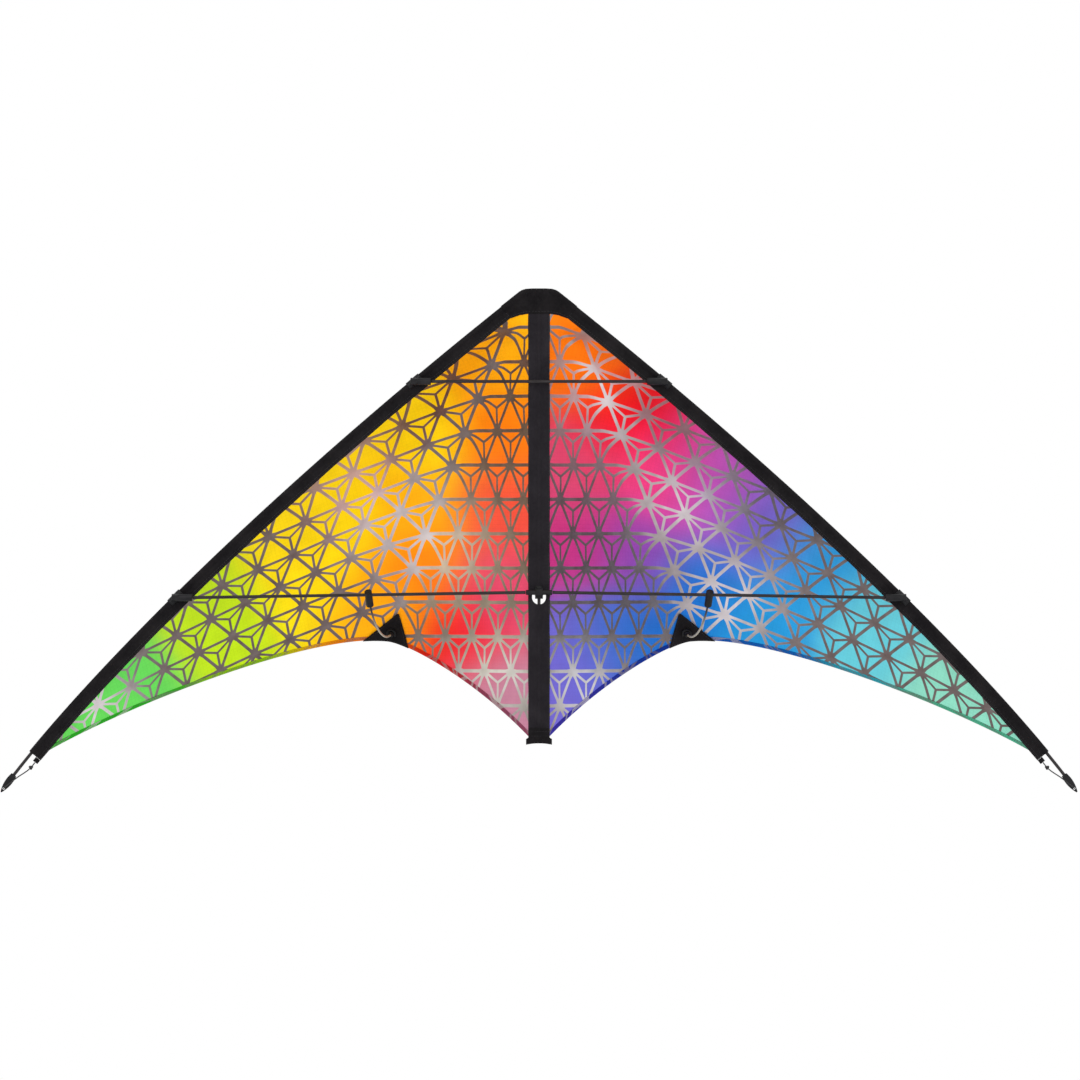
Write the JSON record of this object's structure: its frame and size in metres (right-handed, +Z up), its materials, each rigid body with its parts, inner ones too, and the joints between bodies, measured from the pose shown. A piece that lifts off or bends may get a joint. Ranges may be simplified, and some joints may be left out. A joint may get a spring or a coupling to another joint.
{
  "type": "delta stunt kite",
  "caption": "Two-line delta kite: bowed leading edges, spine, cross spreaders, standoffs and two bellied printed sails; wings fold back about the spine.",
  "frame": {"origin": "on the spine rod's axis, level with the lower spreaders at the centre tee, where the bridle and tow lines hold the kite", "axes": "+X across the span to the right as seen from the front, +Y back, the way the sails belly, +Z up the spine to the nose"},
  "size_m": [1.3462, 0.2017, 0.63],
  "materials": {
    "polyester": "black woven polyester sleeve tape",
    "webbing": "black folded reinforcement cloth",
    "fibreglass": "dark pultruded fibreglass rod, satin",
    "vinyl": "black moulded vinyl, satin",
    "ferrule": "drawn tube",
    "cord": "black braided cord",
    "ripstop_warm": "translucent ripstop, green through yellow and orange to rose, with a foil lattice print",
    "ripstop_cool": "translucent ripstop, orange through pink, violet and blue to green, with a foil lattice print"
  },
  "bodies": {
    "spine": {"spine_rod": "fibreglass", "spine_top_cap": "vinyl", "spine_bottom_cap": "vinyl", "spine_sleeve": "polyester", "nose_patch": "webbing", "tail_patch": "webbing", "centre_tee": "vinyl"},
    "upper_spreader": {"upper_spreader_rod": "fibreglass"},
    "wing_left": {"nose_patch_left": "webbing", "leading_edge_sleeve_left": "polyester", "leading_edge_rod_upper_left": "fibreglass", "leading_edge_rod_lower_left": "fibreglass", "leading_edge_ferrule_left": "ferrule", "leading_edge_cap_left": "vinyl", "upper_connector_left": "vinyl", "lower_connector_left": "vinyl", "sail_left": "ripstop_warm", "trailing_hem_left": "ripstop_warm", "standoff_patch_left": "polyester", "standoff_seat_left": "vinyl", "tip_nock_left": "vinyl", "tip_tab_left": "webbing", "tension_cord_left": "cord", "tension_knot_left": "cord"},
    "wing_right": {"nose_patch_right": "webbing", "leading_edge_sleeve_right": "polyester", "leading_edge_rod_upper_right": "fibreglass", "leading_edge_rod_lower_right": "fibreglass", "leading_edge_ferrule_right": "ferrule", "leading_edge_cap_right": "vinyl", "upper_connector_right": "vinyl", "lower_connector_right": "vinyl", "sail_right": "ripstop_cool", "trailing_hem_right": "ripstop_cool", "standoff_patch_right": "polyester", "standoff_seat_right": "vinyl", "tip_nock_right": "vinyl", "tip_tab_right": "webbing", "tension_cord_right": "cord", "tension_knot_right": "cord"},
    "lower_spreader_left": {"lower_spreader_rod_left": "fibreglass"},
    "lower_spreader_right": {"lower_spreader_rod_right": "fibreglass"},
    "standoff_left": {"standoff_holder_left": "vinyl", "standoff_rod_left": "fibreglass", "standoff_foot_left": "vinyl"},
    "standoff_right": {"standoff_holder_right": "vinyl", "standoff_rod_right": "fibreglass", "standoff_foot_right": "vinyl"}
  },
  "joints": [
    {"name": "wing_left_fold", "type": "hinge", "parent": "spine", "child": "wing_left", "pos_m": [-0.014, 0, 0], "axis": [0, 0, -1], "range_deg": [0, 42]},
    {"name": "wing_right_fold", "type": "hinge", "parent": "spine", "child": "wing_right", "pos_m": [0.014, 0, 0], "axis": [0, 0, 1], "range_deg": [0, 42]},
    {"name": "upper_spreader_lift", "type": "slide", "parent": "spine", "child": "upper_spreader", "axis": [0, -1, 0], "range_m": [0, 0.06]},
    {"name": "lower_spreader_left_lift", "type": "slide", "parent": "wing_left", "child": "lower_spreader_left", "axis": [0, -1, 0], "range_m": [0, 0.06]},
    {"name": "lower_spreader_right_lift", "type": "slide", "parent": "wing_right", "child": "lower_spreader_right", "axis": [0, -1, 0], "range_m": [0, 0.06]},
    {"name": "standoff_left_swing", "type": "hinge", "parent": "lower_spreader_left", "child": "standoff_left", "pos_m": [-0.213, -0.009, -0.00306], "axis": [-0.9999, 0, -0.0156], "range_deg": [0, 75]},
    {"name": "standoff_right_swing", "type": "hinge", "parent": "lower_spreader_right", "child": "standoff_right", "pos_m": [0.213, -0.009, -0.00306], "axis": [-0.9999, 0, 0.0156], "range_deg": [0, 75]}
  ]
}
